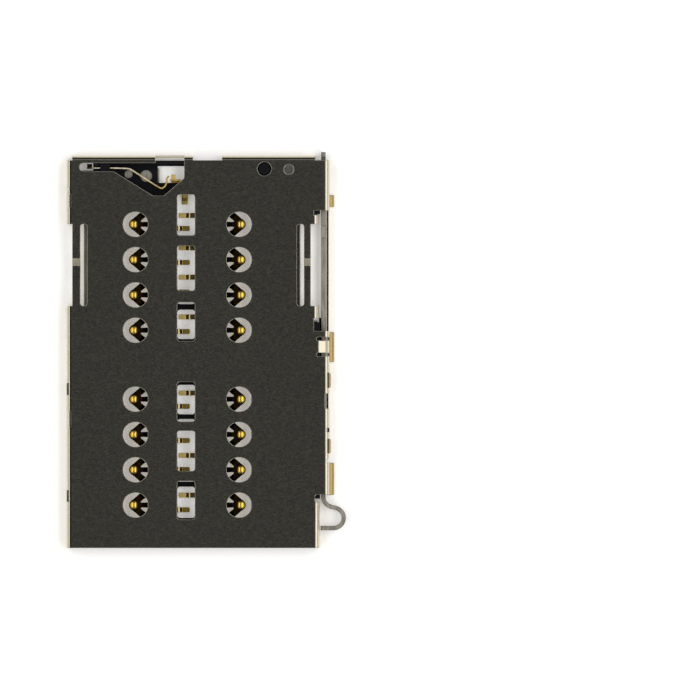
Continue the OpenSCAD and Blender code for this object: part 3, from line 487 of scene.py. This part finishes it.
def contact_height(u, v, foot):
    """A soft S up to the tip, a mean of shifted ramps down to the foot, and the dimple's round bump."""
    rise = np.clip((REACH - u) / REACH, 0, 1)
    ramps = [np.clip((u + slide - foot[0] + STEP_END) / STEP_RUN + 1, 0, 1) for slide in STEP_ROUND]
    step = (ROOT_LEVEL - STRIP / 2) * np.mean(ramps, axis=0)
    bump = np.clip(1 - (u**2 + v**2) / DIMPLE_R**2, 0, 1)
    return ROOT_LEVEL + LIFT * rise**2 * (3 - 2 * rise) - step + DIMPLE_RISE * bump**2


def cells_inside(distance, spans):
    """Grid cells inside an outline: points near the edge go onto it along the slope of the distance."""
    u, v = np.meshgrid(*[np.arange(a, b + GRID, GRID) for a, b in spans], indexing="ij")
    d = distance(u, v)
    slope = np.stack(np.gradient(d, GRID))
    slope /= np.maximum(np.linalg.norm(slope, axis=0), 1e-6)
    close = np.abs(d) < SNAP
    kept = (close | (d < 0)).ravel()
    u = np.where(close, u - d * slope[0], u).ravel()
    v = np.where(close, v - d * slope[1], v).ravel()
    at = np.arange(u.size).reshape(d.shape)
    cells = np.stack([at[:-1, :-1], at[1:, :-1], at[1:, 1:], at[:-1, 1:]], axis=-1).reshape(-1, 4)
    corners = kept[cells].sum(axis=1)
    quads = cells[corners == 4]
    three = cells[corners == 3]
    order = (np.argmin(kept[three], axis=1)[:, None] + np.arange(1, 4)) % 4
    three = np.take_along_axis(three, order, axis=1)
    quads, three = [f[distance(u[f].mean(axis=1), v[f].mean(axis=1)) < 0] for f in (quads, three)]
    used, renumber = np.unique(np.concatenate([quads.ravel(), three.ravel()]), return_inverse=True)
    faces = [renumber[: quads.size].reshape(-1, 4), renumber[quads.size :].reshape(-1, 3)]
    return u[used], v[used], faces


def thick_sheet(u, v, faces, height):
    """Points and faces of a closed sheet: middle plus and minus half a thickness, and a rim on lone edges."""
    tiny = 1e-4
    slope_u = (height(u + tiny, v) - height(u - tiny, v)) / (2 * tiny)
    slope_v = (height(u, v + tiny) - height(u, v - tiny)) / (2 * tiny)
    normal = np.stack([-slope_u, -slope_v, np.ones_like(u)], axis=1)
    normal *= STRIP / 2 / np.linalg.norm(normal, axis=1, keepdims=True)
    middle = np.stack([u, v, height(u, v)], axis=1)
    count = len(u)
    ends = [np.stack([f, np.roll(f, -1, axis=1)], axis=2).reshape(-1, 2) for f in faces]
    ends = np.concatenate(ends)
    lone = ~np.isin(ends[:, 0] * count + ends[:, 1], ends[:, 1] * count + ends[:, 0])
    start, end = ends[lone].T
    rim = np.stack([end, start, start + count, end + count], axis=1)
    sheets = faces + [f[:, ::-1] + count for f in faces] + [rim]
    return np.concatenate([middle + normal, middle - normal]), [face for f in sheets for face in f.tolist()]


def new_piece(name, points, faces, finish):
    """A mesh from points in millimetres, smooth except at sharp bends, with its finish."""
    mesh = bpy.data.meshes.new(name)
    mesh.from_pydata(points * MM, [], faces)
    mesh.shade_smooth()
    mesh.set_sharp_from_angle(angle=SHARP)
    mesh.materials.append(finish)
    piece = bpy.data.objects.new(name, mesh)
    bpy.context.scene.collection.objects.link(piece)
    return piece


step_test = contact_height(np.array([0.0, REACH, 4.0]), np.zeros(3), SAMPLE_FOOT)
print("height of the strip's middle at tip, root and foot, mm:", step_test.round(3))

# %% [markdown]
# ## The sixteen contacts
# Each contact has its own row, side and solder foot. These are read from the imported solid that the
# piece stands for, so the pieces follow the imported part: the spring's points give the row and the side,
# and the points on the board give the foot.

# %% Contact pieces
COLUMN = 3.84
SPRING_Z = 0.5
BOARD_Z = 0.02


def contact_piece(name):
    """Reads a packed contact's side, row and foot, builds its strip, and turns u toward the middle line."""
    mesh = nodes[name].data
    solid = np.empty(3 * len(mesh.vertices))
    mesh.vertices.foreach_get("co", solid)
    solid = solid.reshape(-1, 3) / MM
    spring = solid[solid[:, 2] > SPRING_Z]
    board = solid[solid[:, 2] < BOARD_Z]
    row = (spring[:, 1].min() + spring[:, 1].max()) / 2
    side = np.sign(spring[:, 0].mean() - FIELD_X / MM)
    tip = FIELD_X / MM + side * COLUMN
    run = (tip - board[:, 0]) * side
    foot = (run.min(), run.max())
    shift = (board[:, 1].min() + board[:, 1].max()) / 2 - row
    wide = max(HALF_W, abs(shift) + TAIL_HALF) + 2 * GRID
    spans = [(-TIP_R - 2 * GRID, foot[1] + 2 * GRID), (-wide, wide)]
    u, v, faces = cells_inside(partial(contact_distance, shift=shift, foot=foot), spans)
    if side > 0:
        faces = [f[:, ::-1] for f in faces]
    points, faces = thick_sheet(u, v, faces, partial(contact_height, foot=foot))
    points = points * (-side, 1, 1) + (tip, row, 0)
    piece = new_piece("strip_" + name, points, faces, contact_finish[side])
    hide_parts(name)
    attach(piece, "socket")
    return piece


strips = [contact_piece(name) for name in list(nodes) if name.startswith("contact_")]
print(len(strips), "contacts,", sum(len(piece.data.polygons) for piece in strips), "faces")

# %% [markdown]
# ## The switch: a plated leaf and blade
# Both switch pieces are thin springy strip. The leaf's root end keeps pale nickel and its working end
# is gold, so the colour runs along X, with faint cloudy patches over it.

# %% Switch plating
LEAF_X = (-8.0 * MM, -2.0 * MM)
PATCH = 0.3
PATCH_SPAN = (0.35, 0.7)
SWITCH_ROUGH = (0.38, 0.5)
LEAF_EDGE = 0.05 * MM
DARKER_STOPS = [(0.05, "#3a2a10"), (0.09, "#cfc0a0"), (0.5, "#cfc0a0"), (0.95, "#a38a42")]
LIGHTER_STOPS = [(0.05, "#4a3716"), (0.09, "#ece4d2"), (0.5, "#ece4d2"), (0.95, "#d2b96c")]


def switch_plating():
    """Brown root, pale nickel, then gold along X, in a darker and a lighter run mixed by patches."""
    material, tree, place, _ = new_material("plated_switch_strip")
    spot = add(tree, "SeparateXYZ", [place]).outputs
    patch = add(tree, "TexNoise", {"Vector": place, "Scale": 1 / (PATCH * MM), "Detail": 3.0})
    share = add(tree, "MapRange", (patch, *PATCH_SPAN, 0.0, 1.0))
    along = add(tree, "MapRange", (spot["X"], *LEAF_X, 0.0, 1.0))
    darker = add(tree, "ValToRGB", [along], DARKER_STOPS)
    lighter = add(tree, "ValToRGB", [along], LIGHTER_STOPS)
    colour = blend(tree, share, darker.outputs[0], lighter.outputs[0])
    rough = add(tree, "MapRange", (patch, *NOISE_SPAN, *SWITCH_ROUGH))
    normal = add(tree, "Bevel", {"Radius": LEAF_EDGE}, samples=4)
    surface = {"Base Color": colour, "Roughness": rough, "Normal": normal, "Metallic": 1.0}
    add(tree, "OutputMaterial", [add(tree, "BsdfPrincipled", surface)])
    return material


switch_finish = switch_plating()
finish_with(switch_finish, "switch_contact")
print("switch finish:", switch_finish.name)

# %% [markdown]
# ## The switch leaf: a strip on edge
# The leaf is cut from flat strip and bent while it stands on edge, so its bends are smooth curves in
# plan. A row of corner points gives its line, and each pass of cutting the corners off at a quarter of
# every side makes the line rounder. A rounded rectangle is then carried along the line. Its lower edge
# drops to the board over the root, and a second short strip lies on the board as the solder foot.

# %% Leaf line and section
LEAF_T = 0.12
LEAF_CORNER = 0.025
CORNER_STEPS = 4
LEAF_RUN = [(0, 0), (2.89, 0), (3.21, -0.12), (5.19, -1.42), (5.43, -1.47)]
LEAF_HOOK = [(5.63, -1.3), (5.74, -1), (5.72, -0.76), (5.9, -0.56)]


def rounder(line, passes=3):
    """Corner cutting: each inner corner becomes two points, a quarter of the way in from both its sides."""
    for _ in range(passes):
        near = 0.75 * line[:-1] + 0.25 * line[1:]
        far = 0.25 * line[:-1] + 0.75 * line[1:]
        cut = np.stack([near, far], axis=1).reshape(-1, 2)
        line = np.concatenate([line[:1], cut[1:-1], line[-1:]])
    return line


def strip_along(line, low, high, thick):
    """A rounded rectangle carried along a plan line, between a low and a high edge given at each point."""
    turn = np.linspace(0, math.pi / 2, CORNER_STEPS)
    out = thick / 2 - LEAF_CORNER + LEAF_CORNER * np.cos(turn)
    inset = LEAF_CORNER - LEAF_CORNER * np.sin(turn)
    aside = np.concatenate([out, -out[::-1], -out, out[::-1]])
    inset = np.concatenate([inset, inset[::-1], inset, inset[::-1]])
    upper = np.arange(len(aside)) < len(aside) // 2
    way = np.gradient(line, axis=0)
    way /= np.linalg.norm(way, axis=1, keepdims=True)
    side = np.stack([-way[:, 1], way[:, 0]], axis=1)
    plan = line[:, None, :] + side[:, None, :] * aside[None, :, None]
    z = np.where(upper, high[:, None] - inset, low[:, None] + inset)
    points = np.concatenate([plan, z[:, :, None]], axis=2).reshape(-1, 3)
    at = np.arange(len(points)).reshape(z.shape)
    ahead = np.roll(at, -1, axis=1)
    quads = np.stack([at[:-1], at[1:], ahead[1:], ahead[:-1]], axis=-1).reshape(-1, 4)
    return points, quads.tolist() + [at[0].tolist(), at[-1, ::-1].tolist()]


leaf_line = rounder(np.array(LEAF_RUN + LEAF_HOOK, float))
print("leaf line of", len(leaf_line), "points")

# %% Leaf piece
LEAF_LOW = 0.5
ROOT_RUN = 0.36
ROOT_EDGE = 0.04
ROOT_STATIONS = 25
FOOT_STATIONS = 9
LEAST_STEP = 0.01
leaf_near, leaf_far = [np.array(corner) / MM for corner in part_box("switch_arm")]
root = np.array([leaf_near[0], leaf_far[1] - ROOT_RUN + LEAF_T / 2])
root_line = np.stack([np.linspace(0, ROOT_RUN, ROOT_STATIONS), np.zeros(ROOT_STATIONS)], axis=1)
line = np.concatenate([root_line, leaf_line[leaf_line[:, 0] > ROOT_RUN + LEAST_STEP]])
low_edge = LEAF_LOW * np.clip((line[:, 0] - ROOT_RUN + ROOT_EDGE) / ROOT_EDGE, 0, 1)
blade, blade_faces = strip_along(line + root, low_edge, np.full(len(line), leaf_far[2]), LEAF_T)
foot_y = np.linspace(leaf_far[1] - ROOT_RUN, leaf_far[1], FOOT_STATIONS)
foot_line = np.stack([np.full(FOOT_STATIONS, leaf_near[0] + ROOT_RUN / 2), foot_y], axis=1)
foot_top = np.full(FOOT_STATIONS, LEAF_T)
foot, foot_faces = strip_along(foot_line, np.zeros(FOOT_STATIONS), foot_top, ROOT_RUN)
leaf_faces = blade_faces + [[k + len(blade) for k in face] for face in foot_faces]
leaf = new_piece("switch_leaf", np.concatenate([blade, foot]), leaf_faces, switch_finish)
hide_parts("switch_arm")
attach(leaf, "leaf")
print("leaf of", len(line), "stations,", len(leaf_faces), "faces")

# %% [markdown]
# ## The table
# The table is a wide white sheet. Seen directly or in a mirror it adds a steady glow to the light that
# falls on it, so open table is plain white while the table under the cover stays a soft grey. The
# sheet can be looked through from below, so the underside can be seen too.

# %% Table
TABLE_GLOW = 0.28
TABLE_SHARE = 0.98
TABLE_HALF = 6.0
TABLE_LEVEL = -0.005 * MM
FIBRE = 0.8
GLOW_TINT = (1.0, 0.98, 0.95, 1.0)
PLAIN_STOPS = [(0.3, "#e4e4e2"), (0.7, "#e8e8e6")]


def table_white():
    """Plain white for light; for the eye and for mirrors a diffuse share plus a glow; clear from below."""
    material, tree, place, _ = new_material("white_table_sheet")
    fibre = add(tree, "TexNoise", {"Vector": place, "Scale": 1 / (FIBRE * MM), "Detail": 3.0})
    plain_tone = add(tree, "ValToRGB", [fibre], PLAIN_STOPS)
    plain = add(tree, "BsdfDiffuse", {"Color": plain_tone})
    share = add(tree, "BsdfDiffuse", {"Color": (TABLE_SHARE, TABLE_SHARE, TABLE_SHARE, 1.0)})
    glow = add(tree, "Emission", {"Color": GLOW_TINT, "Strength": TABLE_GLOW})
    seen = add(tree, "AddShader", (share, glow))
    path = add(tree, "LightPath").outputs
    eye = add(tree, "Math", (path["Is Camera Ray"], path["Is Glossy Ray"]), operation="MAXIMUM")
    looked_at = add(tree, "Math", (eye, path["Is Transmission Ray"]), operation="MAXIMUM")
    top = add(tree, "MixShader", (looked_at, plain, seen))
    backfacing = add(tree, "NewGeometry").outputs["Backfacing"]
    add(tree, "OutputMaterial", [add(tree, "MixShader", (backfacing, top, add(tree, "BsdfTransparent")))])
    return material


table_mesh = bpy.data.meshes.new("table_sheet")
corners = [(x * TABLE_HALF, y * TABLE_HALF, TABLE_LEVEL) for x, y in ((-1, -1), (1, -1), (1, 1), (-1, 1))]
table_mesh.from_pydata(corners, [], [(0, 1, 2, 3)])
table_mesh.materials.append(table_white())
table = bpy.data.objects.new("table_sheet", table_mesh)
bpy.context.scene.collection.objects.link(table)
print("table laid at", round(TABLE_LEVEL / MM, 3), "mm")

# %% [markdown]
# ## The light
# Two long softboxes hang left and right of the socket, about two thirds of the way up, in a grey room.
# The flat cover mirrors the gap between them and stays dark, while everything that is folded, rounded
# or tilted to a side mirrors a box and shines. A lamp's power is worked out from how bright its face
# should look, so that the sum is a plain level at which a colour renders about as it is written.

# %% Softboxes and room
ROOM = 0.3
RIGHT_LIGHT = 2.4
LEFT_LIGHT = 1.85
BOX_RISE = math.radians(58)
BOX_AWAY = 0.45
BOX_SIZE = (0.7, 0.22)


def softbox(name, azimuth, radiance):
    """A rectangle that faces the socket; its power is pi times its area times the radiance asked for."""
    turn = math.radians(azimuth)
    flat = math.cos(BOX_RISE)
    way = Vector((math.cos(turn) * flat, math.sin(turn) * flat, math.sin(BOX_RISE)))
    lamp = bpy.data.lights.new(name, "AREA")
    lamp.shape = "RECTANGLE"
    lamp.size, lamp.size_y = BOX_SIZE
    lamp.energy = math.pi * BOX_SIZE[0] * BOX_SIZE[1] * radiance
    stand = bpy.data.objects.new(name, lamp)
    stand.location = way * BOX_AWAY
    stand.rotation_euler = way.to_track_quat("Z", "Y").to_euler()
    bpy.context.scene.collection.objects.link(stand)


softbox("softbox_right", 0, RIGHT_LIGHT)
softbox("softbox_left", 180, LEFT_LIGHT)
world = bpy.data.worlds.new("grey_room")
world.use_nodes = True
world.node_tree.nodes["Background"].inputs["Color"].default_value = (ROOM, ROOM, ROOM, 1.0)
bpy.context.scene.world = world
print("two softboxes in a grey room")

# %% [markdown]
# ## The camera
# The socket is seen from straight above through a long lens, so its walls stay hidden as they do on a
# copy stand. The view is as wide as the picture's 50 mm of table, with the socket left of its middle.

# %% Camera
VIEW_WIDTH = 50.36 * MM
AIM = Vector((10.935 * MM, 0.128 * MM, sheet_top))
SENSOR = 36.0
FOCAL = 1500.0
lens = bpy.data.cameras.new("copy_stand")
lens.sensor_width = SENSOR
lens.lens = FOCAL
lens.clip_start = 0.01
lens.clip_end = 100.0
camera = bpy.data.objects.new("copy_stand", lens)
camera.location = AIM + Vector((0, 0, VIEW_WIDTH * FOCAL / SENSOR))
bpy.context.scene.collection.objects.link(camera)
bpy.context.scene.camera = camera
bpy.context.scene.view_settings.view_transform = "Standard"
print("camera", round(camera.location.z, 3), "m above the table")
